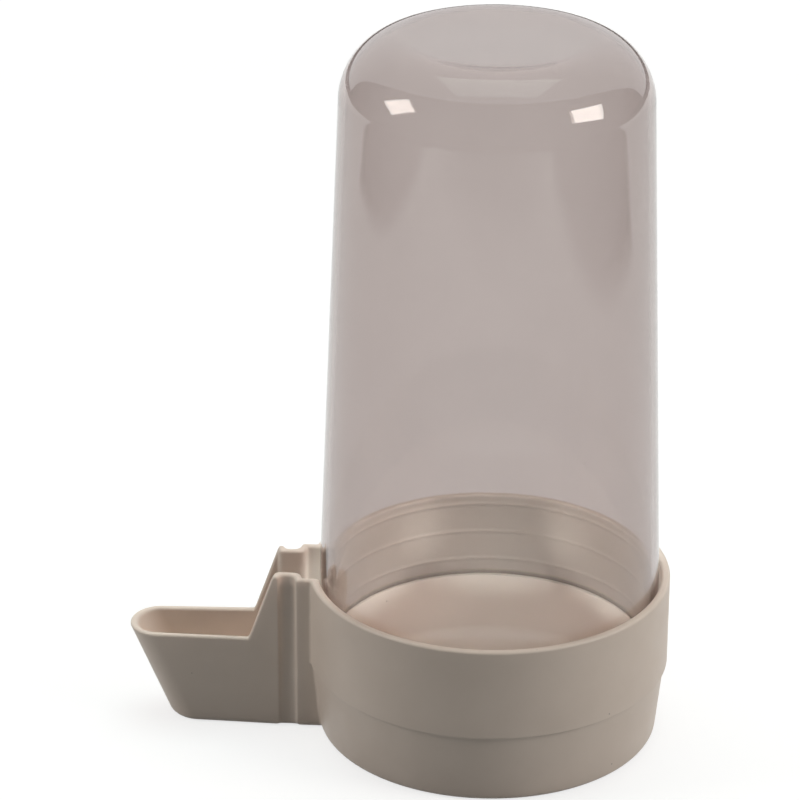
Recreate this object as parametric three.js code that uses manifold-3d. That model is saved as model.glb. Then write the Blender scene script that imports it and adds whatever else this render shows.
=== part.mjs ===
// Bird water drinker: a clear reservoir that stands mouth down in a moulded base.
// The base is a round cup with a spout; the spout's neck is grooved to sit between two cage wires.
// Millimetres, +Z up. The origin is the middle of the cup's foot, and the spout points along -X.

import * as THREE from 'three';
import { mergeVertices } from 'three/addons/utils/BufferGeometryUtils.js';
import Module from 'manifold-3d';

// Cup of the base
const COLLAR_RADIUS = 30; // outside of the upper band, which holds the reservoir
const COLLAR_HEIGHT = 15.65; // step to rim
const FOOT_BAND_HEIGHT = 12.4; // foot to the step in the outside wall
const BAND_STEP = 0.45; // how far the wall steps in below the collar
const FOOT_TAPER = 1.15; // how far it draws in further, down to the foot
const COLLAR_WALL = 1.4;
const BASE_FLOOR = 1.6;
const SEAT_RISE = 0.55; // from the step up to the ledge that the reservoir's mouth stands on
const LEDGE_WIDTH = 1.2;
const WELL_TAPER = 0.8; // how far the well draws in from the ledge to its floor
const RIM_ROUND = 0.45;
const STEP_ROUND = 0.2; // lower edge of the collar
const FOOT_ROUND = 1.15;
const WELL_ROUND = 2.2; // inside corner between the floor and the wall

// Rings moulded round the collar's bore
const RING_COUNT = 3;
const FIRST_RING_ABOVE_SEAT = 2.9;
const LAST_RING_BELOW_RIM = 1.7;
const RING_RISE = 0.15;
const RING_WIDTH = 0.9;

// Spout, as lengths that follow each other outward from the collar
const NECK_LENGTH = 1.45; // flat side of the neck
const GROOVE_FALL = 1.95; // from there to the floor of the groove that takes a cage wire
const GROOVE_FLOOR = 0.3;
const GROOVE_RISE = 1.25; // from there back out to the trough's side
const RIDGE_LENGTH = 0.65; // level top of the ridge beyond the groove
const RAMP_LENGTH = 4.2; // the side walls slope down from the rim to the lip
const TROUGH_LENGTH = 20.6; // foot of the ramp to the foremost point of the lip
const NOSE_LENGTH = 5; // round end of the trough

// Spout, across and up
const TROUGH_HALF_WIDTH = 6;
const NOSE_TAPER = 0.6; // how much each side of the trough draws in towards the nose
const NECK_FLARE = 0.95; // how far the neck stands out from the trough's side, at the rim
const NECK_FOOT_FLARE = 0.1; // the same at the foot
const GROOVE_DEPTH = 1.05; // below the trough's side, at the rim
const GROOVE_FOOT_DEPTH = 0.3; // the groove runs out towards the foot
const LIP_ABOVE_SEAT = 3.35; // the lip stands above the reservoir's mouth, so the water stops short of it
const END_LEAN = THREE.MathUtils.degToRad(22.7); // the end wall leans out as it rises
const SPOUT_WALL = 1.2;
const SPOUT_FOOT_ROUND = 1;
const CHANNEL_ROUND = 0.8; // inside corner between the channel's floor and its walls

// Reservoir
const RESERVOIR_HEIGHT = 107.35; // mouth to top
const TUBE_TAPER = 3.25; // how far the wall draws in from the rim to the shoulder
const SHOULDER_ROUND = 10.65; // outside and inside
const TUBE_WALL = 2;
const TUBE_TOP_WALL = 2;
const MOUTH_ROUND = 0.5;

// Clearances between the two pieces
const SOCKET_CLEARANCE = 0.25; // between the rings and the reservoir's mouth
const SEAT_CLEARANCE = 0.3; // under the reservoir's mouth

// Fineness of curves
const ROUND_SEGMENTS = 72;
const ARC_STEPS = 4;
const SHOULDER_STEPS = 10;
const CURVE_STEPS = 8;

// How far a cutting shape runs past what it cuts
const OVERCUT = 5;

// How far a bend in the spout's side moves along it, as a share of how far the wall is moved in
const BEND_SHIFT = 0.8;

// Where the curves' handles lie along the groove's fall and its rise, as shares of each
const FALL_TURN = 0.35;
const RISE_TURN = 0.7;

// Heights above the foot
const BASE_HEIGHT = FOOT_BAND_HEIGHT + COLLAR_HEIGHT;
const SEAT_HEIGHT = FOOT_BAND_HEIGHT + SEAT_RISE;
const LIP_HEIGHT = SEAT_HEIGHT + LIP_ABOVE_SEAT;
const MOUTH_HEIGHT = SEAT_HEIGHT + SEAT_CLEARANCE;
const TOP_HEIGHT = MOUTH_HEIGHT + RESERVOIR_HEIGHT;

// Radii about the cup's axis
const BAND_RADIUS = COLLAR_RADIUS - BAND_STEP;
const FOOT_RADIUS = BAND_RADIUS - FOOT_TAPER;
const BORE_RADIUS = COLLAR_RADIUS - COLLAR_WALL;
const WELL_TOP_RADIUS = BORE_RADIUS - LEDGE_WIDTH;
const WELL_FOOT_RADIUS = WELL_TOP_RADIUS - WELL_TAPER;
const MOUTH_RADIUS = BORE_RADIUS - RING_RISE - SOCKET_CLEARANCE;
const TUBE_SHOULDER_RADIUS = MOUTH_RADIUS - TUBE_TAPER;

// Distances along the spout from the cup's axis
const NECK_END = COLLAR_RADIUS + NECK_LENGTH;
const GROOVE_START = NECK_END + GROOVE_FALL;
const GROOVE_END = GROOVE_START + GROOVE_FLOOR;
const TROUGH_START = GROOVE_END + GROOVE_RISE;
const RAMP_TOP_REACH = TROUGH_START + RIDGE_LENGTH;
const RAMP_FOOT_REACH = RAMP_TOP_REACH + RAMP_LENGTH;
const TIP_REACH = RAMP_FOOT_REACH + TROUGH_LENGTH;

const wasm = await Module();
wasm.setup();

// A closed geometry as a solid that can be joined and cut.
function solid(geometry) {
  const bare = geometry.clone();
  bare.deleteAttribute('normal');
  bare.deleteAttribute('uv');
  const merged = mergeVertices(bare);
  const vertProperties = new Float32Array(merged.attributes.position.array);
  const triVerts = new Uint32Array(merged.index.array);
  return new wasm.Manifold(new wasm.Mesh({ numProp: 3, vertProperties, triVerts }));
}

// A solid as a geometry with flat shading.
function geometryOf(body) {
  const mesh = body.getMesh();
  const geometry = new THREE.BufferGeometry();
  geometry.setAttribute('position', new THREE.BufferAttribute(mesh.vertProperties, 3));
  geometry.setIndex(new THREE.BufferAttribute(mesh.triVerts, 1));
  const flat = geometry.toNonIndexed();
  flat.computeVertexNormals();
  return flat;
}

function point(x, y) {
  return new THREE.Vector2(x, y);
}

// Points on an arc about (r, z), from one angle to another in degrees.
function arc(r, z, radius, from, to, steps) {
  return Array.from({ length: steps + 1 }, (_, i) => {
    const angle = THREE.MathUtils.degToRad(from + ((to - from) * i) / steps);
    return point(r + radius * Math.cos(angle), z + radius * Math.sin(angle));
  });
}

// A profile of radius and height turned about the Z axis.
function revolve(profile) {
  return new THREE.LatheGeometry(profile, ROUND_SEGMENTS).rotateX(Math.PI / 2);
}

// A closed body through level outlines, lowest first. All run counterclockwise with as many points.
function loft(sections) {
  const count = sections[0].outline.length;
  const places = sections.flatMap(({ outline, height }) => outline.flatMap((p) => [p.x, p.y, height]));
  const cap = (outline) => THREE.ShapeUtils.triangulateShape(outline, []);
  const topRing = (sections.length - 1) * count;
  const faces = [
    ...cap(sections[0].outline).map((face) => [...face].reverse()),
    ...cap(sections.at(-1).outline).map((face) => face.map((i) => i + topRing)),
  ];
  for (let ring = 0; ring < topRing; ring += count) {
    for (let i = 0; i < count; i += 1) {
      const next = (i + 1) % count;
      faces.push([ring + i, ring + next, ring + count + next]);
      faces.push([ring + i, ring + count + next, ring + count + i]);
    }
  }
  const body = new THREE.BufferGeometry();
  body.setAttribute('position', new THREE.Float32BufferAttribute(places, 3));
  body.setIndex(faces.flat());
  return body;
}

// The cup's outside: a tapered lower band, a step, and the straight collar above it.
function cupOutside() {
  return revolve([
    point(0, 0),
    ...arc(FOOT_RADIUS - FOOT_ROUND, FOOT_ROUND, FOOT_ROUND, -90, 0, ARC_STEPS),
    point(BAND_RADIUS, FOOT_BAND_HEIGHT),
    ...arc(COLLAR_RADIUS - STEP_ROUND, FOOT_BAND_HEIGHT + STEP_ROUND, STEP_ROUND, -90, 0, ARC_STEPS),
    ...arc(COLLAR_RADIUS - RIM_ROUND, BASE_HEIGHT - RIM_ROUND, RIM_ROUND, 0, 90, ARC_STEPS),
    point(0, BASE_HEIGHT),
  ]);
}

// One ring round the collar's bore, as a low crest in the profile. The rings are evenly spaced.
function ring(index) {
  const first = SEAT_HEIGHT + FIRST_RING_ABOVE_SEAT;
  const last = BASE_HEIGHT - LAST_RING_BELOW_RIM;
  const height = THREE.MathUtils.lerp(first, last, index / (RING_COUNT - 1));
  return [
    point(BORE_RADIUS, height - RING_WIDTH / 2),
    point(BORE_RADIUS - RING_RISE, height),
    point(BORE_RADIUS, height + RING_WIDTH / 2),
  ];
}

// The cup's hollow: the water well, the ledge at its top, and the ringed bore up to the rim.
function cupHollow() {
  const rings = Array.from({ length: RING_COUNT }, (_, i) => ring(i)).flat();
  return revolve([
    point(0, BASE_FLOOR),
    ...arc(WELL_FOOT_RADIUS - WELL_ROUND, BASE_FLOOR + WELL_ROUND, WELL_ROUND, -90, 0, ARC_STEPS),
    point(WELL_TOP_RADIUS, SEAT_HEIGHT),
    point(BORE_RADIUS, SEAT_HEIGHT),
    ...rings,
    ...arc(BORE_RADIUS + RIM_ROUND, BASE_HEIGHT - RIM_ROUND, RIM_ROUND, 180, 90, ARC_STEPS),
    point(BORE_RADIUS + RIM_ROUND, BASE_HEIGHT + OVERCUT),
    point(0, BASE_HEIGHT + OVERCUT),
  ]);
}

// The spout's outline at a height, moved in by a wall: neck, wire groove, trough and round nose.
// The neck's flare and the groove grow from foot to rim, and the nose leans out as it rises.
function spoutOutline(inset, height) {
  const rise = height / BASE_HEIGHT;
  const trough = TROUGH_HALF_WIDTH - inset;
  const neck = trough + THREE.MathUtils.lerp(NECK_FOOT_FLARE, NECK_FLARE, rise);
  const groove = trough - THREE.MathUtils.lerp(GROOVE_FOOT_DEPTH, GROOVE_DEPTH, rise);
  const nose = trough - NOSE_TAPER;
  const shift = inset * BEND_SHIFT;
  const neckEnd = NECK_END - shift;
  const fallTurn = neckEnd + GROOVE_FALL * FALL_TURN;
  const grooveEnd = GROOVE_END + shift;
  const riseTurn = grooveEnd + GROOVE_RISE * RISE_TURN;
  const outerTip = TIP_REACH + (height - LIP_HEIGHT) * Math.tan(END_LEAN);
  const noseStart = outerTip - NOSE_LENGTH;
  const noseLength = NOSE_LENGTH - inset / Math.cos(END_LEAN);
  const side = new THREE.Path();
  side.moveTo(0, neck);
  side.lineTo(neckEnd, neck);
  side.bezierCurveTo(fallTurn, neck, neckEnd, groove, GROOVE_START - shift, groove);
  side.lineTo(grooveEnd, groove);
  side.bezierCurveTo(riseTurn, groove, riseTurn, trough, TROUGH_START + shift, trough);
  side.lineTo(noseStart, nose);
  side.absellipse(noseStart, 0, noseLength, nose, Math.PI / 2, 0, true, 0);
  const points = side.getPoints(CURVE_STEPS);
  const farSide = points.map((p) => point(-p.x, p.y));
  const nearSide = points.slice(0, -1).map((p) => point(-p.x, -p.y));
  return [...farSide, ...nearSide.reverse()];
}

// The spout's outline carried up from one height to another, drawn in round its foot.
function spoutBody(inset, from, to, footRound) {
  const foot = arc(0, 0, footRound, -90, 0, ARC_STEPS).map((p) => ({
    outline: spoutOutline(inset + footRound - p.x, from + footRound + p.y),
    height: from + footRound + p.y,
  }));
  return loft([...foot, { outline: spoutOutline(inset, to), height: to }]);
}

// What is cut away above the trough: level at the lip, then up the ramp to the rim.
function aboveTrough() {
  const slope = (RAMP_FOOT_REACH - RAMP_TOP_REACH) / (BASE_HEIGHT - LIP_HEIGHT);
  const top = BASE_HEIGHT + OVERCUT;
  const end = TIP_REACH + BASE_HEIGHT;
  const side = new THREE.Shape([
    point(-RAMP_TOP_REACH + slope * OVERCUT, top),
    point(-end, top),
    point(-end, LIP_HEIGHT),
    point(-RAMP_FOOT_REACH, LIP_HEIGHT),
  ]);
  const width = 2 * (TROUGH_HALF_WIDTH + NECK_FLARE + OVERCUT);
  const body = new THREE.ExtrudeGeometry(side, { depth: width, bevelEnabled: false });
  return body.rotateX(Math.PI / 2).translate(0, width / 2, 0);
}

// The base: cup and spout in one moulding, hollowed as one channel from the well to the nose.
function base() {
  const spout = solid(spoutBody(0, 0, BASE_HEIGHT, SPOUT_FOOT_ROUND)).subtract(solid(aboveTrough()));
  const channel = solid(spoutBody(SPOUT_WALL, BASE_FLOOR, BASE_HEIGHT + OVERCUT, CHANNEL_ROUND));
  const body = solid(cupOutside()).add(spout).subtract(solid(cupHollow())).subtract(channel);
  return geometryOf(body);
}

// The reservoir: a straight mouth inside the collar, a tapered wall, a round shoulder, a flat top.
function reservoir() {
  const shoulder = TOP_HEIGHT - SHOULDER_ROUND;
  const innerTop = TOP_HEIGHT - TUBE_TOP_WALL;
  const shoulderMiddle = TUBE_SHOULDER_RADIUS - SHOULDER_ROUND;
  const mouthInside = MOUTH_RADIUS - TUBE_WALL;
  return revolve([
    point(0, innerTop),
    ...arc(shoulderMiddle - TUBE_WALL, innerTop - SHOULDER_ROUND, SHOULDER_ROUND, 90, 0, SHOULDER_STEPS),
    point(mouthInside, BASE_HEIGHT),
    ...arc(mouthInside + MOUTH_ROUND, MOUTH_HEIGHT + MOUTH_ROUND, MOUTH_ROUND, 180, 270, ARC_STEPS),
    ...arc(MOUTH_RADIUS - MOUTH_ROUND, MOUTH_HEIGHT + MOUTH_ROUND, MOUTH_ROUND, 270, 360, ARC_STEPS),
    point(MOUTH_RADIUS, BASE_HEIGHT),
    ...arc(shoulderMiddle, shoulder, SHOULDER_ROUND, 0, 90, SHOULDER_STEPS),
    point(0, TOP_HEIGHT),
  ]);
}

const ivoryPlastic = new THREE.MeshStandardMaterial({ color: 0xcdbfae, roughness: 0.5, metalness: 0 });
const smokeClearPlastic = new THREE.MeshStandardMaterial({
  color: 0xd9cfcd,
  roughness: 0.08,
  metalness: 0,
  transparent: true,
  opacity: 0.4,
});

function piece(name, geometry, material) {
  const mesh = new THREE.Mesh(geometry, material);
  mesh.name = name;
  return mesh;
}

const drinker = new THREE.Group();
drinker.add(piece('base', base(), ivoryPlastic));
drinker.add(piece('reservoir', reservoir(), smokeClearPlastic));

export default drinker;
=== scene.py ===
"""Looks of a bird water drinker: an ivory cup with a drinking spout, and a clear tube that stands in it.

Metres, +Z up. The cup's axis is the Z axis, its foot is at height 0, and the spout points along -X.
"""

import math
from collections import namedtuple

import bmesh
import bpy
import numpy as np
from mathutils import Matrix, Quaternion, Vector


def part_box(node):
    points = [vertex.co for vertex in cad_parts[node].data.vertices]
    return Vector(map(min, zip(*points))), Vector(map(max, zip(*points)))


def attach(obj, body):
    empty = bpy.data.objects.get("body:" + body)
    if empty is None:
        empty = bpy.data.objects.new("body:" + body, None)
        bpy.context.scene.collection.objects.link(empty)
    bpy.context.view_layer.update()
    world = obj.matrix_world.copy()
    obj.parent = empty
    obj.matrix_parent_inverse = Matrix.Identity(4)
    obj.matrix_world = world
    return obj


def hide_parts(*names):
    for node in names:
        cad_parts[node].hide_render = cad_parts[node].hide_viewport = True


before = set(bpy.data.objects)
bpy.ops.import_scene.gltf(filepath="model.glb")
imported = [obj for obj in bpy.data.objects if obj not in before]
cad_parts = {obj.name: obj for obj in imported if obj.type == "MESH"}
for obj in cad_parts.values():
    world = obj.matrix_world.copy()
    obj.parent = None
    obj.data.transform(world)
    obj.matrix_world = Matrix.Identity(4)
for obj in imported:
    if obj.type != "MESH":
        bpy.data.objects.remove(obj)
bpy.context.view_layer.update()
base_low, base_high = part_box("base")
tube_low, tube_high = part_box("reservoir")

# Sizes that the frame gives
COLLAR_RADIUS = base_high.x
TIP_REACH = -base_low.x
BASE_HEIGHT = base_high.z
MOUTH_HEIGHT = tube_low.z
MOUTH_RADIUS = tube_high.x
TOP_HEIGHT = tube_high.z

# Cup
FOOT_BAND_HEIGHT = 0.0124
BAND_RADIUS = COLLAR_RADIUS - 0.00045
FOOT_RADIUS = BAND_RADIUS - 0.00115
BORE_RADIUS = COLLAR_RADIUS - 0.0014
WELL_TOP_RADIUS = BORE_RADIUS - 0.0012
WELL_FOOT_RADIUS = WELL_TOP_RADIUS - 0.0008
BASE_FLOOR = 0.0016
SEAT_HEIGHT = FOOT_BAND_HEIGHT + 0.00055
RIM_ROUND = 0.00045
STEP_ROUND = 0.0002
FOOT_ROUND = 0.00115
WELL_ROUND = 0.0022
CORNER_ROUND = 0.00015  # inside corner under the collar, and the corners of the ledge
STEP_EDGE_START = -78  # degrees, where the round under the collar leaves the step
LEDGE_FALL = 0.00004  # the ledge falls this much inwards, so that no two rows are level

# Rings round the collar's bore
RING_HEIGHTS = np.linspace(SEAT_HEIGHT + 0.0029, BASE_HEIGHT - 0.0017, 3)
RING_RISE = 0.00015
RING_WIDTH = 0.0009

# Spout, outward from the cup's axis
NECK_END = COLLAR_RADIUS + 0.00145
GROOVE_FALL = 0.00195
GROOVE_RISE = 0.00125
GROOVE_START = NECK_END + GROOVE_FALL
GROOVE_END = GROOVE_START + 0.0003
TROUGH_START = GROOVE_END + GROOVE_RISE
RAMP_TOP_REACH = TROUGH_START + 0.00065
RAMP_FOOT_REACH = RAMP_TOP_REACH + 0.0042
NOSE_LENGTH = 0.005
RAMP_ROUND = 0.0003  # half the length of the bends at the ramp's two ends
NECK_CORNER = 0.0005  # round where the neck's sides meet the cup
BEND_SHIFT = 0.8  # how far a bend moves along the side, as a share of the inset
FALL_TURN = 0.35  # where the curves' handles lie, as shares of the groove's fall and rise
RISE_TURN = 0.7

# Spout, across and up
TROUGH_HALF_WIDTH = 0.006
NOSE_TAPER = 0.0006
NECK_FLARE = 0.00095
NECK_FOOT_FLARE = 0.0001
GROOVE_DEPTH = 0.00105
GROOVE_FOOT_DEPTH = 0.0003
SPOUT_WALL = 0.0012
LIP_HEIGHT = SEAT_HEIGHT + 0.00335
END_LEAN = math.radians(22.7)
SPOUT_FOOT_ROUND = 0.001
CHANNEL_ROUND = 0.0008
LEVEL_FOOT = 0.003  # rows below this height run level
LIP_BAND = 0.001  # rows this near the rim keep their depth below the spout's edge

# Tube
TUBE_TAPER = 0.00325
TUBE_WALL = 0.0012
SHOULDER_ROUND = 0.01065
SHOULDER_RADIUS = MOUTH_RADIUS - TUBE_TAPER
SHOULDER_MIDDLE = SHOULDER_RADIUS - SHOULDER_ROUND
MOUTH_ROUND = 0.0005

# Fineness of the surfaces
TURN_SEGMENTS = 192
ROW_SPACING = 0.001
BORE_SPACING = 0.00022
ARC_STEPS = 8
SMALL_ARC_STEPS = 4
SHOULDER_STEPS = 24
MIDDLE_REACHES = np.array([0, 0.35, 0.7, 0.9, 0.98])  # rows of the two flat bottoms
FOOT_STEPS = 12
WALL_ROWS = 12
WELL_ROWS = 10
HOLLOW_STEPS = 14
CUP_POINTS = 72
CORNER_STEPS = 7
NECK_STEPS = 4
GROOVE_STEPS = 14
GROOVE_FLOOR_STEPS = 3
RAMP_STEPS = 36
SIDE_STEPS = 15
NOSE_STEPS = 24
SAME_PLACE = 1e-7
SHARP_ANGLE = math.radians(50)

# Camera, as the photograph was taken
CAMERA_TARGET = Vector((-0.01495, -0.00086, 0.05847))
CAMERA_AZIMUTH = math.radians(3.277)
CAMERA_ELEVATION = math.radians(24.146)
CAMERA_ROLL = math.radians(0.259)
CAMERA_DISTANCE = 0.5638
CAMERA_LENS = 155.99
SENSOR_WIDTH = 36

# Ivory plastic
IVORY_DARK = (0.745, 0.65, 0.575, 1)
IVORY_LIGHT = (0.79, 0.692, 0.615, 1)
IVORY_SPECK = (0.16, 0.12, 0.09, 1)
IVORY_DULLNESS = (0.40, 0.52)
IVORY_IOR = 1.49
GRAIN_STRENGTH = 0.25
GRAIN_DEPTH = 0.00003

# Clear plastic
TINT_DARK = (0.835, 0.81, 0.802, 1)
TINT_LIGHT = (0.86, 0.835, 0.827, 1)
TINT_SPECK = (0.25, 0.21, 0.20, 1)
# Painted shade: the colour of the band round the mouth, painted dark for the shadowed gap between the
# tube and the ledge
TINT_MOUTH_SHADE = (0.30, 0.26, 0.23, 1)
MOUTH_SHADE_FADE = (MOUTH_HEIGHT + 0.0004, MOUTH_HEIGHT + 0.0009)  # painted shade round the mouth: the band darkened for the shadowed gap between the tube and the ledge
MOUTH_SHADE_SHARE = 0.85
HAZE = (0.01, 0.03)
CLEAR_IOR = 1.45
WAVE_STRENGTH = 0.15
WAVE_DEPTH = 0.00005
LAMP_LIGHT_PASSED = (0.95, 0.95, 0.95, 1)
SMOKE_COLOUR = (0.26, 0.12, 0.08, 1)
SMOKE_DENSITY = 267

NOISE_MIDDLE = (0.3, 0.7)  # where most of a noise texture's values lie
HAZE_MIDDLE = (0.35, 0.75)

# Studio
WHITE = (1, 1, 1, 1)
WORLD_FILL = (0.59, 0.53, 0.488, 1)
SHEET_SIZE = 0.9
SHEET_COLOUR = (0.34, 0.345, 0.35, 1)
SHEET_GLOW = 0.73
GLOW_REACH = (0.35, 0.75)  # between these distances the glow grows to 1, where the lamps don't reach
FRONT_FADE = (-0.46, -0.30)  # the sheet fades out towards the camera
LEFT_FADE = (-0.323, -0.298)  # and on both sides, in front of SIDE_FADE
RIGHT_FADE = (0.285, 0.245)
SIDE_FADE = (0.085, 0.105)
TABLE_DROP = 0.002
TABLE_SIZE = 6.0
DARK = (0.01, 0.01, 0.01, 1)
SCREEN_RADIUS = 1.5
SCREEN_HALF_TURN = math.radians(131)
SCREEN_TOP = math.radians(66)
SCREEN_POINTS = (73, 17)  # across and up
LAMP_COLOUR = (1, 0.945, 0.885)
LAMP_AIM = Vector((0, -0.018, 0.115))
LEFT_LAMP_PLACE = (-0.548, -0.105, 0.376)
LEFT_LAMP_SIZE = (0.185, 0.227)
LEFT_LAMP_TURN = math.radians(-35)
LEFT_LAMP_POWER = 1.25
RIGHT_LAMP_PLACE = (0.547, -0.152, 0.356)
RIGHT_LAMP_SIZE = (0.264, 0.204)
RIGHT_LAMP_TURN = math.radians(-19)
RIGHT_LAMP_POWER = 1.83
TOP_LAMP_SIZE = 0.5
TOP_LAMP_PLACE = (0, 0.15, 0.8)
TOP_LAMP_POWER = 2.25
TOP_LAMP_COLOUR = (0.81, 1, 0.99)

# Narrow beams for the cup's inside: three for the collar's bore and a steep one for the well
Beam = namedtuple("Beam", "elevation height widening blend")  # widening is its width over its height
BORE_BEAM = Beam(elevation=math.radians(21), height=0.026, widening=1.42, blend=0.75)
WELL_BEAM = Beam(elevation=math.radians(48), height=0.05, widening=1, blend=1)
BEAM_COLOUR = (0.79, 0.95, 0.97)
BEAM_DISTANCE = 0.55
BEAM_AIM_REACH = 0.025  # each beam aims this far past the cup's axis
SIDE_BEAM_TURN = math.radians(52)
SIDE_AIM_HEIGHT = 0.0225
MIDDLE_AIM_HEIGHT = 0.022
WELL_AIM_HEIGHT = 0.0085
LEFT_BEAM_POWER = 9.4
MIDDLE_BEAM_POWER = 6.2
RIGHT_BEAM_POWER = 8.8
WELL_BEAM_POWER = 3.7


def lerp(start, end, share):
    """The value a share of the way from start to end."""
    return start + (end - start) * share


def shares(count):
    """So many equal shares from 0 to 1, without the 0."""
    return np.linspace(0, 1, count + 1)[1:]


def arc(centre, radius, start, end, steps):
    """Points on a circle about a (radius, height) centre, from one angle to another in degrees."""
    angle = np.radians(np.linspace(start, end, steps + 1))
    return np.array(centre) + radius * np.stack([np.cos(angle), np.sin(angle)], axis=1)


def chain(*stretches):
    """One profile through all the stretches, cut into equal parts of at most ROW_SPACING."""
    points = np.concatenate([np.atleast_2d(stretch) for stretch in stretches])
    lengths = np.linalg.norm(np.diff(points, axis=0), axis=1)
    points = points[np.append(True, lengths > SAME_PLACE)]
    steps = np.diff(points, axis=0)
    parts = np.ceil(np.linalg.norm(steps, axis=1) / ROW_SPACING).astype(int)
    within = np.arange(parts.sum()) - np.repeat(np.cumsum(parts) - parts, parts)
    share = within / np.repeat(parts, parts)
    cut = np.repeat(points[:-1], parts, axis=0) + share[:, None] * np.repeat(steps, parts, axis=0)
    return np.concatenate([cut, points[-1:]])


def turned(profile):
    """A profile of radius r and height z turned about the Z axis: x = r cos a, y = r sin a."""
    angle = np.linspace(0, 2 * math.pi, TURN_SEGMENTS, endpoint=False)
    radius, height = profile.T
    x = np.outer(radius, np.cos(angle))
    y = np.outer(radius, np.sin(angle))
    return np.stack([x, y, np.broadcast_to(height[:, None], x.shape)], axis=2)


def skin(name, grid, material):
    """A closed mesh over a grid of points.

    The last column joins the first, and points that meet are merged.
    """
    rows, columns = grid.shape[:2]
    index = np.arange(rows * columns).reshape(rows, columns)
    beside = np.roll(index, -1, axis=1)
    faces = np.stack([index[:-1], beside[:-1], beside[1:], index[1:]], axis=2).reshape(-1, 4)
    mesh = bpy.data.meshes.new(name)
    mesh.from_pydata(grid.reshape(-1, 3).tolist(), [], faces.tolist())
    shell = bmesh.new()
    shell.from_mesh(mesh)
    bmesh.ops.remove_doubles(shell, verts=shell.verts, dist=SAME_PLACE)
    shell.to_mesh(mesh)
    shell.free()
    mesh.polygons.foreach_set("use_smooth", np.ones(len(mesh.polygons), dtype=bool))
    mesh.set_sharp_from_angle(angle=SHARP_ANGLE)
    mesh.materials.append(material)
    piece = bpy.data.objects.new(name, mesh)
    bpy.context.scene.collection.objects.link(piece)
    return piece


def tube_profile():
    """The tube's wall as one profile, even all round.

    It runs from the middle of the inside top, down the inside, round the mouth and up the outside.
    """
    inner_mouth = MOUTH_RADIUS - TUBE_WALL
    lip = MOUTH_HEIGHT + MOUTH_ROUND
    shoulder = (SHOULDER_MIDDLE, TOP_HEIGHT - SHOULDER_ROUND)
    return chain(
        (0, TOP_HEIGHT - TUBE_WALL),
        arc(shoulder, SHOULDER_ROUND - TUBE_WALL, 90, 0, SHOULDER_STEPS),
        (inner_mouth, BASE_HEIGHT),
        arc((inner_mouth + MOUTH_ROUND, lip), MOUTH_ROUND, 180, 270, ARC_STEPS),
        arc((MOUTH_RADIUS - MOUTH_ROUND, lip), MOUTH_ROUND, 270, 360, ARC_STEPS),
        (MOUTH_RADIUS, BASE_HEIGHT),
        arc(shoulder, SHOULDER_ROUND, 0, 90, SHOULDER_STEPS),
        (0, TOP_HEIGHT),
    )


def foot_radius(height):
    """The cup's outside radius below the step: a quarter circle at the foot, then a straight taper."""
    below = np.clip(FOOT_ROUND - height, 0, FOOT_ROUND)
    rounded = np.sqrt(FOOT_ROUND**2 - below**2) - FOOT_ROUND
    taper = np.clip((height - FOOT_ROUND) / (FOOT_BAND_HEIGHT - FOOT_ROUND), 0, 1)
    return lerp(FOOT_RADIUS, BAND_RADIUS, taper) + rounded


def bore_radius(height):
    """The collar's inside radius: straight, with a low crest (a squared cosine) at each ring."""
    off = np.clip((height[:, None] - RING_HEIGHTS) / (RING_WIDTH / 2), -1, 1)
    return BORE_RADIUS - RING_RISE * (np.cos(off * math.pi / 2) ** 2).sum(axis=1)


def rows(radius, height, inset, reach=1.0):
    """Rows of the base's skin: cup radius, cup height, spout inset, and how far out from the middle."""
    return np.stack(np.broadcast_arrays(radius, height, inset, reach), axis=-1).reshape(-1, 4)


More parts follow.
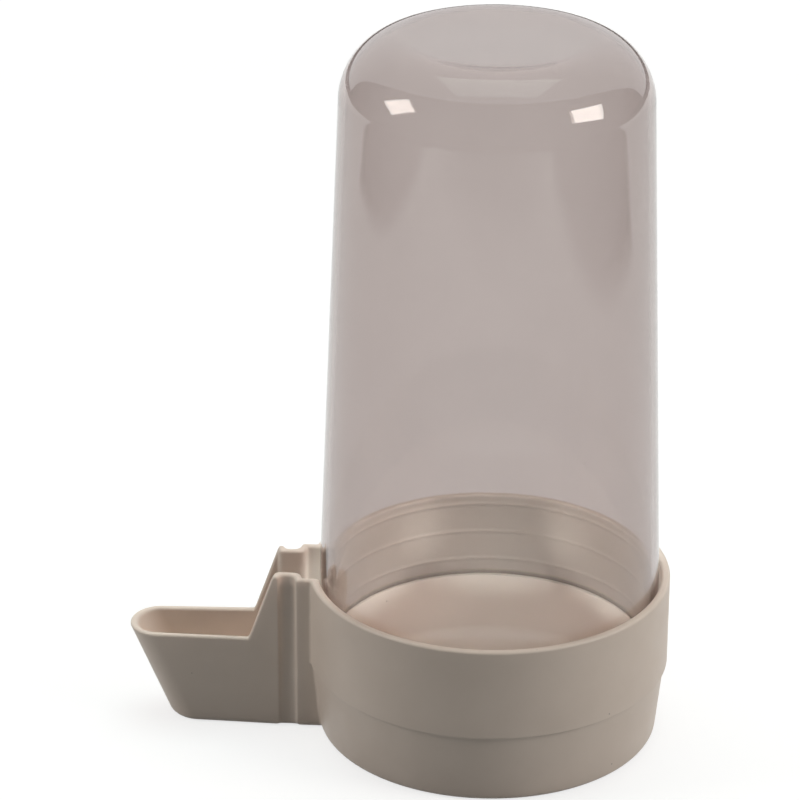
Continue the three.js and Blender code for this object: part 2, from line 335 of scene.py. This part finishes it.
def base_rows():
    """All rows of the base.

    They run from the middle of its underside up the outside, over the rim and down to its floor.
    """
    angle = np.radians(np.linspace(0, 90, ARC_STEPS + 1))
    curl = RIM_ROUND * (1 - np.cos(angle))
    rim = BASE_HEIGHT - RIM_ROUND * (1 - np.sin(angle))
    foot = SPOUT_FOOT_ROUND * (1 - np.cos(np.radians(np.linspace(0, 90, FOOT_STEPS + 1))))
    foot_inset = SPOUT_FOOT_ROUND - np.sqrt(SPOUT_FOOT_ROUND**2 - (SPOUT_FOOT_ROUND - foot) ** 2)
    under_step = FOOT_BAND_HEIGHT - CORNER_ROUND
    band = np.linspace(SPOUT_FOOT_ROUND, under_step, WALL_ROWS)[1:]
    step = arc((BAND_RADIUS + CORNER_ROUND, under_step), CORNER_ROUND, 180, 90, SMALL_ARC_STEPS)[1:]
    step_top = FOOT_BAND_HEIGHT + STEP_ROUND
    step_edge = arc((COLLAR_RADIUS - STEP_ROUND, step_top), STEP_ROUND, STEP_EDGE_START, 0, ARC_STEPS)
    collar = np.linspace(step_top, BASE_HEIGHT - RIM_ROUND, WALL_ROWS)[1:-1]
    bore_steps = round((BASE_HEIGHT - RIM_ROUND - SEAT_HEIGHT) / BORE_SPACING)
    bore = np.linspace(BASE_HEIGHT - RIM_ROUND, SEAT_HEIGHT + CORNER_ROUND, bore_steps)[1:]
    ledge_middle = (BORE_RADIUS - CORNER_ROUND, SEAT_HEIGHT + CORNER_ROUND)
    ledge = arc(ledge_middle, CORNER_ROUND, 0, -90, SMALL_ARC_STEPS)[1:]
    ledge_top = SEAT_HEIGHT - LEDGE_FALL - CORNER_ROUND
    edge_middle = (WELL_TOP_RADIUS + CORNER_ROUND, ledge_top)
    ledge_edge = arc(edge_middle, CORNER_ROUND, 90, 180, SMALL_ARC_STEPS)
    well_foot = BASE_FLOOR + WELL_ROUND
    well = np.linspace(ledge_edge[-1, 1], well_foot, WELL_ROWS)[1:-1]
    well_rise = (well - well_foot) / (SEAT_HEIGHT - well_foot)
    well_radius = lerp(WELL_FOOT_RADIUS, WELL_TOP_RADIUS, well_rise)
    floor_radius = WELL_FOOT_RADIUS - WELL_ROUND
    hollow = arc((floor_radius, well_foot), WELL_ROUND, 0, -90, HOLLOW_STEPS)
    drop = np.clip(CHANNEL_ROUND - (hollow[:, 1] - BASE_FLOOR), 0, CHANNEL_ROUND)
    hollow_inset = SPOUT_WALL + CHANNEL_ROUND - np.sqrt(CHANNEL_ROUND**2 - drop**2)
    return np.concatenate([
        rows(FOOT_RADIUS - FOOT_ROUND, 0, SPOUT_FOOT_ROUND, MIDDLE_REACHES),
        rows(foot_radius(foot), foot, foot_inset),
        rows(foot_radius(band), band, 0),
        rows(step[:, 0], step[:, 1], 0),
        rows(step_edge[:, 0], step_edge[:, 1], 0),
        rows(COLLAR_RADIUS, collar, 0),
        rows(COLLAR_RADIUS - curl, rim, curl),
        rows(BORE_RADIUS + curl[::-1], rim[::-1], SPOUT_WALL - curl[::-1]),
        rows(bore_radius(bore), bore, SPOUT_WALL),
        rows(ledge[:, 0], ledge[:, 1], SPOUT_WALL),
        rows(ledge_edge[:, 0], ledge_edge[:, 1], SPOUT_WALL),
        rows(well_radius, well, SPOUT_WALL),
        rows(hollow[:, 0], hollow[:, 1], hollow_inset),
        rows(floor_radius, BASE_FLOOR, SPOUT_WALL + CHANNEL_ROUND, MIDDLE_REACHES[::-1]),
    ])


def bend(along):
    """A ramp that starts at 0 with a round foot.

    It is 0 before the foot, a parabola in the bend, and then the length itself.
    """
    inside = (along + RAMP_ROUND) ** 2 / (4 * RAMP_ROUND)
    return np.where(along > RAMP_ROUND, along, np.where(along < -RAMP_ROUND, 0, inside))


def lip_height(reach):
    """The height of the spout's edge: the rim, a straight ramp with round ends, and the level lip."""
    slope = (BASE_HEIGHT - LIP_HEIGHT) / (RAMP_FOOT_REACH - RAMP_TOP_REACH)
    return BASE_HEIGHT - slope * (bend(reach - RAMP_TOP_REACH) - bend(reach - RAMP_FOOT_REACH))


def lip_steepness(reach):
    """How much longer a depth below the edge is when it is measured straight down.

    It is the square root of 1 plus the slope squared: 1 on the level, and more on the ramp.
    """
    small = RAMP_ROUND / 10
    slope = (lip_height(reach + small) - lip_height(reach - small)) / (2 * small)
    return np.sqrt(1 + slope**2)


def under_lip(height, lip, steepness):
    """A cup height carried under a lower edge.

    Near the foot it stays level, near the edge it keeps its depth, and between them it is stretched.
    """
    depth = BASE_HEIGHT - height
    band_top = lip - LIP_BAND * steepness
    share = (height - LEVEL_FOOT) / (BASE_HEIGHT - LIP_BAND - LEVEL_FOOT)
    between = lerp(LEVEL_FOOT, band_top, share)
    low = np.where(height < LEVEL_FOOT, height, between)
    return np.where(depth < LIP_BAND, lip - depth * steepness, low)


def s_curve(start, first_turn, second_turn, end, start_side, end_side, share):
    """A cubic curve that leaves and arrives along the spout, as reach and half width.

    Its two handles lie at the reaches of the turns.
    """
    rest = 1 - share
    ends = rest**3 * start + share**3 * end
    handles = rest**2 * share * first_turn + rest * share**2 * second_turn
    return ends + 3 * handles, lerp(start_side, end_side, share**2 * (3 - 2 * share))


def base_surface():
    """The base's skin as a grid. Each row goes once round the cup and the spout, at that row's own inset.

    Half a row is the cup's arc, a round corner, the neck's side, the wire groove as two S curves with a
    flat floor between, the trough's side and a quarter ellipse for the nose. The other half is its mirror
    image. Over the spout, heights follow its edge.
    """
    radius, height, inset, out = (column[:, None] for column in base_rows().T)
    rise = height / BASE_HEIGHT
    trough = TROUGH_HALF_WIDTH - inset
    neck = trough + lerp(NECK_FOOT_FLARE, NECK_FLARE, rise)
    groove = trough - lerp(GROOVE_FOOT_DEPTH, GROOVE_DEPTH, rise)
    nose = trough - NOSE_TAPER
    shift = inset * BEND_SHIFT
    neck_end = NECK_END - shift
    groove_start = GROOVE_START - shift
    groove_end = GROOVE_END + shift
    trough_start = TROUGH_START + shift
    nose_height = under_lip(height, LIP_HEIGHT, 1)
    nose_start = TIP_REACH + (nose_height - LIP_HEIGHT) * math.tan(END_LEAN) - NOSE_LENGTH
    nose_length = NOSE_LENGTH - inset / math.cos(END_LEAN)

    corner_angle = math.pi - np.arcsin(neck / radius)
    corner_reach = np.sqrt(radius**2 - neck**2)
    angle = np.linspace(0, 1, CUP_POINTS) * (corner_angle - NECK_CORNER / radius)
    cup_reach, cup_side = -radius * np.cos(angle), radius * np.sin(angle)

    share = shares(CORNER_STEPS)
    first, middle, last = (1 - share) ** 2, 2 * share * (1 - share), share**2
    corner_end = corner_reach + NECK_CORNER
    corner_x = first * cup_reach[:, -1:] + middle * corner_reach + last * corner_end
    corner_y = first * cup_side[:, -1:] + (middle + last) * neck

    neck_x = lerp(corner_end, neck_end, shares(NECK_STEPS))
    neck_y = np.broadcast_to(neck, neck_x.shape)
    share = shares(GROOVE_STEPS)
    fall_turn = neck_end + FALL_TURN * GROOVE_FALL
    fall_x, fall_y = s_curve(neck_end, fall_turn, neck_end, groove_start, neck, groove, share)
    rise_turn = groove_end + RISE_TURN * GROOVE_RISE
    floor_x = lerp(groove_start, groove_end, shares(GROOVE_FLOOR_STEPS))
    floor_y = np.broadcast_to(groove, floor_x.shape)
    climb_x, climb_y = s_curve(groove_end, rise_turn, rise_turn, trough_start, groove, trough, share)

    ramp_end = RAMP_FOOT_REACH + 2 * RAMP_ROUND
    ramp_x = lerp(trough_start, ramp_end, shares(RAMP_STEPS))
    straight_x = lerp(ramp_end, nose_start, shares(SIDE_STEPS))
    side_x = np.concatenate([ramp_x, straight_x], axis=1)
    side_y = lerp(trough, nose, (side_x - trough_start) / (nose_start - trough_start))

    turn = np.radians(np.linspace(90, 0, NOSE_STEPS + 1)[1:])
    nose_x = nose_start + nose_length * np.cos(turn)
    nose_y = nose * np.sin(turn)

    spout_reach = np.concatenate([corner_x, neck_x, fall_x, floor_x, climb_x, side_x, nose_x], axis=1)
    spout_side = np.concatenate([corner_y, neck_y, fall_y, floor_y, climb_y, side_y, nose_y], axis=1)
    spout_height = under_lip(height, lip_height(spout_reach), lip_steepness(spout_reach))
    x = -np.concatenate([cup_reach, spout_reach], axis=1)
    y = np.concatenate([cup_side, spout_side], axis=1)
    z = np.concatenate([np.broadcast_to(height, cup_reach.shape), spout_height], axis=1)

    # The two flat bottoms close on a line from the cup's axis to the start of the nose.
    turned_past = np.clip(angle / corner_angle * 2 - 1, 0, 1) ** 2
    cup_middle = -corner_reach * turned_past
    spout_middle = np.maximum(-spout_reach, -nose_start)
    middle_x = np.concatenate([cup_middle, spout_middle], axis=1)
    x = lerp(middle_x, x, out)
    y = y * out
    half = np.stack([x, y, z], axis=2)
    mirrored = half[:, -2:0:-1] * (1, -1, 1)
    return np.concatenate([half, mirrored], axis=1)


def new_material(name):
    """An empty node material, as its material, nodes and links."""
    material = bpy.data.materials.new(name)
    material.use_nodes = True
    tree = material.node_tree
    tree.nodes.clear()
    return material, tree.nodes, tree.links


def noise(nodes, links, place, scale, detail):
    """A noise texture's factor on Object coordinates, with so many cells to the metre."""
    texture = nodes.new("ShaderNodeTexNoise")
    texture.inputs["Scale"].default_value = scale
    texture.inputs["Detail"].default_value = detail
    links.new(place, texture.inputs["Vector"])
    return texture.outputs["Fac"]


def mapped(nodes, links, value, low, high, to_low, to_high):
    """A value's range carried onto another range, held at its ends."""
    node = nodes.new("ShaderNodeMapRange")
    node.inputs["From Min"].default_value = low
    node.inputs["From Max"].default_value = high
    node.inputs["To Min"].default_value = to_low
    node.inputs["To Max"].default_value = to_high
    links.new(value, node.inputs["Value"])
    return node.outputs["Result"]


def mixed(nodes, links, share, first, second):
    """A colour between two: each is a colour socket or plain numbers."""
    node = nodes.new("ShaderNodeMix")
    node.data_type = "RGBA"
    links.new(share, node.inputs[0])
    for socket, colour in ((node.inputs[6], first), (node.inputs[7], second)):
        if isinstance(colour, tuple):
            socket.default_value = colour
        else:
            links.new(colour, socket)
    return node.outputs[2]


def speckled(nodes, links, place, scale, size, strength):
    """Tiny specks where a point of a random 3-D scatter lies within a size of the surface, in cells."""
    scatter = nodes.new("ShaderNodeTexVoronoi")
    scatter.inputs["Scale"].default_value = scale
    links.new(place, scatter.inputs["Vector"])
    return mapped(nodes, links, scatter.outputs["Distance"], size / 2, size, strength, 0)


def ivory_plastic():
    """Moulded ivory plastic: soft mottling, a few dark specks, uneven dullness and a fine grain."""
    material, nodes, links = new_material("ivory_plastic")
    place = nodes.new("ShaderNodeTexCoord").outputs["Object"]
    mottle = noise(nodes, links, place, scale=90, detail=4)
    mottle = mapped(nodes, links, mottle, *NOISE_MIDDLE, 0, 1)
    specks = speckled(nodes, links, place, scale=130, size=0.024, strength=0.6)
    colour = mixed(nodes, links, mottle, IVORY_DARK, IVORY_LIGHT)
    colour = mixed(nodes, links, specks, colour, IVORY_SPECK)
    grain = noise(nodes, links, place, scale=2600, detail=3)
    dullness = noise(nodes, links, place, scale=260, detail=3)
    dullness = mapped(nodes, links, dullness, *NOISE_MIDDLE, *IVORY_DULLNESS)
    bump = nodes.new("ShaderNodeBump")
    bump.inputs["Strength"].default_value = GRAIN_STRENGTH
    bump.inputs["Distance"].default_value = GRAIN_DEPTH
    links.new(grain, bump.inputs["Height"])
    shader = nodes.new("ShaderNodeBsdfPrincipled")
    shader.inputs["IOR"].default_value = IVORY_IOR
    links.new(colour, shader.inputs["Base Color"])
    links.new(dullness, shader.inputs["Roughness"])
    links.new(bump.outputs["Normal"], shader.inputs["Normal"])
    output = nodes.new("ShaderNodeOutputMaterial")
    links.new(shader.outputs["BSDF"], output.inputs["Surface"])
    return material


def clear_plastic():
    """Clear smoky plastic with painted shade in a band round the mouth, for the shadowed gap under it,
    faint haze, a few specks and soft waves.

    Light from the lamps passes straight through it, so that what stands inside is lit.
    """
    material, nodes, links = new_material("clear_plastic")
    place = nodes.new("ShaderNodeTexCoord").outputs["Object"]
    cloud = noise(nodes, links, place, scale=45, detail=3)
    cloud = mapped(nodes, links, cloud, *NOISE_MIDDLE, 0, 1)
    specks = speckled(nodes, links, place, scale=90, size=0.016, strength=0.7)
    height = nodes.new("ShaderNodeSeparateXYZ")
    links.new(place, height.inputs["Vector"])
    # Painted shade: the lowest band of the tube, round the mouth, goes dark for the shadowed gap between
    # the mouth and the ledge.
    mouth_shade = mapped(nodes, links, height.outputs["Z"], *MOUTH_SHADE_FADE, MOUTH_SHADE_SHARE, 0)
    tint = mixed(nodes, links, cloud, TINT_DARK, TINT_LIGHT)
    tint = mixed(nodes, links, specks, tint, TINT_SPECK)
    tint = mixed(nodes, links, mouth_shade, tint, TINT_MOUTH_SHADE)
    haze = noise(nodes, links, place, scale=120, detail=4)
    haze = mapped(nodes, links, haze, *HAZE_MIDDLE, *HAZE)
    bump = nodes.new("ShaderNodeBump")
    bump.inputs["Strength"].default_value = WAVE_STRENGTH
    bump.inputs["Distance"].default_value = WAVE_DEPTH
    links.new(noise(nodes, links, place, scale=140, detail=2), bump.inputs["Height"])
    shader = nodes.new("ShaderNodeBsdfPrincipled")
    shader.inputs["IOR"].default_value = CLEAR_IOR
    shader.inputs["Transmission Weight"].default_value = 1.0
    links.new(tint, shader.inputs["Base Color"])
    links.new(haze, shader.inputs["Roughness"])
    links.new(bump.outputs["Normal"], shader.inputs["Normal"])
    lit = nodes.new("ShaderNodeBsdfTransparent")
    lit.inputs["Color"].default_value = LAMP_LIGHT_PASSED
    path = nodes.new("ShaderNodeLightPath")
    either = nodes.new("ShaderNodeMixShader")
    links.new(path.outputs["Is Shadow Ray"], either.inputs["Fac"])
    links.new(shader.outputs["BSDF"], either.inputs[1])
    links.new(lit.outputs["BSDF"], either.inputs[2])
    smoke = nodes.new("ShaderNodeVolumeAbsorption")
    smoke.inputs["Color"].default_value = SMOKE_COLOUR
    smoke.inputs["Density"].default_value = SMOKE_DENSITY
    output = nodes.new("ShaderNodeOutputMaterial")
    links.new(either.outputs["Shader"], output.inputs["Surface"])
    links.new(smoke.outputs["Volume"], output.inputs["Volume"])
    return material


def joined(nodes, links, operation, first, second):
    """Two values joined by a maths operation."""
    node = nodes.new("ShaderNodeMath")
    node.operation = operation
    links.new(first, node.inputs[0])
    links.new(second, node.inputs[1])
    return node.outputs[0]


def seen_directly(nodes, links):
    """1 for rays that show a thing to the eye, and 0 for rays that carry its light to other things.

    A thing shows straight, mirrored or through the clear plastic.
    """
    path = nodes.new("ShaderNodeLightPath").outputs
    mirrored = joined(nodes, links, "MAXIMUM", path["Is Camera Ray"], path["Is Glossy Ray"])
    return joined(nodes, links, "MAXIMUM", mirrored, path["Is Transmission Ray"])


def sheet_share(nodes, links):
    """How much of the sheet is there: all behind the object, fading out at both sides and in front."""
    place = nodes.new("ShaderNodeSeparateXYZ")
    links.new(nodes.new("ShaderNodeTexCoord").outputs["Object"], place.inputs["Vector"])
    left = mapped(nodes, links, place.outputs["X"], *LEFT_FADE, 0, 1)
    right = mapped(nodes, links, place.outputs["X"], *RIGHT_FADE, 0, 1)
    behind = mapped(nodes, links, place.outputs["Y"], *SIDE_FADE, 0, 1)
    front = mapped(nodes, links, place.outputs["Y"], *FRONT_FADE, 0, 1)
    across = joined(nodes, links, "MULTIPLY", left, right)
    beside = joined(nodes, links, "MAXIMUM", across, behind)
    return joined(nodes, links, "MULTIPLY", beside, front)


def white_sheet():
    """A pale sheet that glows to the eye: it shows white and still takes the object's shadow."""
    material, nodes, links = new_material("white_sheet")
    matte = nodes.new("ShaderNodeBsdfDiffuse")
    matte.inputs["Color"].default_value = SHEET_COLOUR
    glow = nodes.new("ShaderNodeEmission")
    distance = nodes.new("ShaderNodeVectorMath")
    distance.operation = "LENGTH"
    links.new(nodes.new("ShaderNodeTexCoord").outputs["Object"], distance.inputs[0])
    strength = mapped(nodes, links, distance.outputs["Value"], *GLOW_REACH, SHEET_GLOW, 1)
    shown = joined(nodes, links, "MULTIPLY", strength, seen_directly(nodes, links))
    links.new(shown, glow.inputs["Strength"])
    both = nodes.new("ShaderNodeAddShader")
    links.new(matte.outputs["BSDF"], both.inputs[0])
    links.new(glow.outputs["Emission"], both.inputs[1])
    faded = nodes.new("ShaderNodeMixShader")
    links.new(sheet_share(nodes, links), faded.inputs["Fac"])
    links.new(nodes.new("ShaderNodeBsdfTransparent").outputs["BSDF"], faded.inputs[1])
    links.new(both.outputs["Shader"], faded.inputs[2])
    output = nodes.new("ShaderNodeOutputMaterial")
    links.new(faded.outputs["Shader"], output.inputs["Surface"])
    return material


def dark_cloth():
    """Plain dark cloth."""
    material, nodes, links = new_material("dark_cloth")
    matte = nodes.new("ShaderNodeBsdfDiffuse")
    matte.inputs["Color"].default_value = DARK
    output = nodes.new("ShaderNodeOutputMaterial")
    links.new(matte.outputs["BSDF"], output.inputs["Surface"])
    return material


def staged(name, grid, material):
    """An open stage surface over a grid of points."""
    count_across, count_along = grid.shape[:2]
    index = np.arange(count_across * count_along).reshape(count_across, count_along)
    corners = (index[:-1, :-1], index[1:, :-1], index[1:, 1:], index[:-1, 1:])
    faces = np.stack(corners, axis=2).reshape(-1, 4)
    mesh = bpy.data.meshes.new(name)
    mesh.from_pydata(grid.reshape(-1, 3).tolist(), [], faces.tolist())
    mesh.materials.append(material)
    thing = bpy.data.objects.new(name, mesh)
    bpy.context.scene.collection.objects.link(thing)
    return thing


def level(x, y, height):
    """A level grid over the given x and y places."""
    across, along = np.meshgrid(x, y, indexing="ij")
    return np.stack([across, along, np.full(across.shape, height)], axis=2)


def screen_grid():
    """A dark dome in front: elevation runs up to an ellipse that is highest straight ahead."""
    turn = np.linspace(-SCREEN_HALF_TURN, SCREEN_HALF_TURN, SCREEN_POINTS[0])
    top = SCREEN_TOP * np.sqrt(np.clip(1 - (turn / SCREEN_HALF_TURN) ** 2, 0, 1))
    elevation = np.linspace(0, 1, SCREEN_POINTS[1])[None, :] * top[:, None]
    x = np.sin(turn)[:, None] * np.cos(elevation)
    y = -np.cos(turn)[:, None] * np.cos(elevation)
    return SCREEN_RADIUS * np.stack([x, y, np.sin(elevation)], axis=2)


def make_stage():
    """A white sheet on a dark table, with a dark screen in front that only shades and is mirrored."""
    sheet_edges = np.array([-SHEET_SIZE, SHEET_SIZE])
    staged("sheet", level(sheet_edges, sheet_edges, 0.0), white_sheet())
    cloth = dark_cloth()
    table_edges = np.array([-TABLE_SIZE, TABLE_SIZE])
    table = staged("table", level(table_edges, table_edges, -TABLE_DROP), cloth)
    screen = staged("screen", screen_grid(), cloth)
    for thing in (table, screen):
        thing.visible_camera = False
        thing.visible_transmission = False


def make_world():
    """A white surround that also gives the soft light from above and behind."""
    world = bpy.data.worlds.new("surround")
    world.use_nodes = True
    nodes, links = world.node_tree.nodes, world.node_tree.links
    nodes.clear()
    sky = nodes.new("ShaderNodeBackground")
    colour = mixed(nodes, links, seen_directly(nodes, links), WORLD_FILL, WHITE)
    links.new(colour, sky.inputs["Color"])
    output = nodes.new("ShaderNodeOutputWorld")
    links.new(sky.outputs["Background"], output.inputs["Surface"])
    bpy.context.scene.world = world


def make_lamp(name, place, size, turn, power):
    """A flat soft box that faces the tube's shoulder, turned about the line to it."""
    data = bpy.data.lights.new(name, "AREA")
    data.color = LAMP_COLOUR
    data.shape = "RECTANGLE"
    data.size, data.size_y = size
    data.energy = power
    lamp = bpy.data.objects.new(name, data)
    lamp.location = place
    lamp.rotation_mode = "QUATERNION"
    facing = (lamp.location - LAMP_AIM).to_track_quat("Z", "Y")
    lamp.rotation_quaternion = facing @ Quaternion((0, 0, 1), turn)
    bpy.context.scene.collection.objects.link(lamp)


def make_top_lamp():
    """A broad lamp above, for the rims, the trough and the sheet. It isn't mirrored."""
    data = bpy.data.lights.new("top_lamp", "AREA")
    data.color = TOP_LAMP_COLOUR
    data.size = TOP_LAMP_SIZE
    data.energy = TOP_LAMP_POWER
    lamp = bpy.data.objects.new("top_lamp", data)
    lamp.location = TOP_LAMP_PLACE
    lamp.visible_glossy = False
    bpy.context.scene.collection.objects.link(lamp)


def make_beam(name, beam, azimuth, aim_height, power, shaded_by):
    """A narrow lamp over the near rim that lights the far side of the cup's inside, past the tube."""
    data = bpy.data.lights.new(name, "SPOT")
    data.color = BEAM_COLOUR
    data.energy = power
    data.spot_size = 2 * math.atan(beam.height / 2 / BEAM_DISTANCE)
    data.spot_blend = beam.blend
    lamp = bpy.data.objects.new(name, data)
    side = Vector((math.sin(azimuth), -math.cos(azimuth), 0))
    away = math.cos(beam.elevation) * side + Vector((0, 0, math.sin(beam.elevation)))
    aim = Vector((0, 0, aim_height)) - BEAM_AIM_REACH * side
    lamp.location = aim + BEAM_DISTANCE * away
    lamp.rotation_mode = "QUATERNION"
    lamp.rotation_quaternion = away.to_track_quat("Z", "Y")
    lamp.scale = (beam.widening, 1, 1)
    lamp.visible_glossy = False
    lamp.light_linking.blocker_collection = shaded_by
    bpy.context.scene.collection.objects.link(lamp)


def make_beams(cup):
    """The beams for the cup's inside. Only the cup itself shades them."""
    cup_alone = bpy.data.collections.new("cup_alone")
    cup_alone.objects.link(cup)
    make_beam("left_beam", BORE_BEAM, -SIDE_BEAM_TURN, SIDE_AIM_HEIGHT, LEFT_BEAM_POWER, cup_alone)
    make_beam("middle_beam", BORE_BEAM, 0, MIDDLE_AIM_HEIGHT, MIDDLE_BEAM_POWER, cup_alone)
    make_beam("right_beam", BORE_BEAM, SIDE_BEAM_TURN, SIDE_AIM_HEIGHT, RIGHT_BEAM_POWER, cup_alone)
    make_beam("well_beam", WELL_BEAM, 0, WELL_AIM_HEIGHT, WELL_BEAM_POWER, cup_alone)


def make_camera():
    """The photograph's camera: it looks at the target from the front, a little right of it and above."""
    data = bpy.data.cameras.new("camera")
    data.lens = CAMERA_LENS
    data.sensor_width = SENSOR_WIDTH
    camera = bpy.data.objects.new("camera", data)
    flat = math.cos(CAMERA_ELEVATION)
    across = math.sin(CAMERA_AZIMUTH) * flat
    towards = math.cos(CAMERA_AZIMUTH) * flat
    back = Vector((across, -towards, math.sin(CAMERA_ELEVATION)))
    camera.location = CAMERA_TARGET + CAMERA_DISTANCE * back
    camera.rotation_mode = "QUATERNION"
    camera.rotation_quaternion = back.to_track_quat("Z", "Y") @ Quaternion((0, 0, 1), CAMERA_ROLL)
    bpy.context.scene.collection.objects.link(camera)
    bpy.context.scene.camera = camera


make_camera()
make_world()
make_lamp("left_lamp", LEFT_LAMP_PLACE, LEFT_LAMP_SIZE, LEFT_LAMP_TURN, LEFT_LAMP_POWER)
make_lamp("right_lamp", RIGHT_LAMP_PLACE, RIGHT_LAMP_SIZE, RIGHT_LAMP_TURN, RIGHT_LAMP_POWER)
make_top_lamp()
make_stage()

cup = skin("cup_and_spout", base_surface(), ivory_plastic())
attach(cup, "base")
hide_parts("base")

tube = skin("clear_tube", turned(tube_profile()), clear_plastic())
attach(tube, "reservoir")
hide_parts("reservoir")

make_beams(cup)

bpy.context.scene.view_settings.view_transform = "Standard"
bpy.context.view_layer.update()
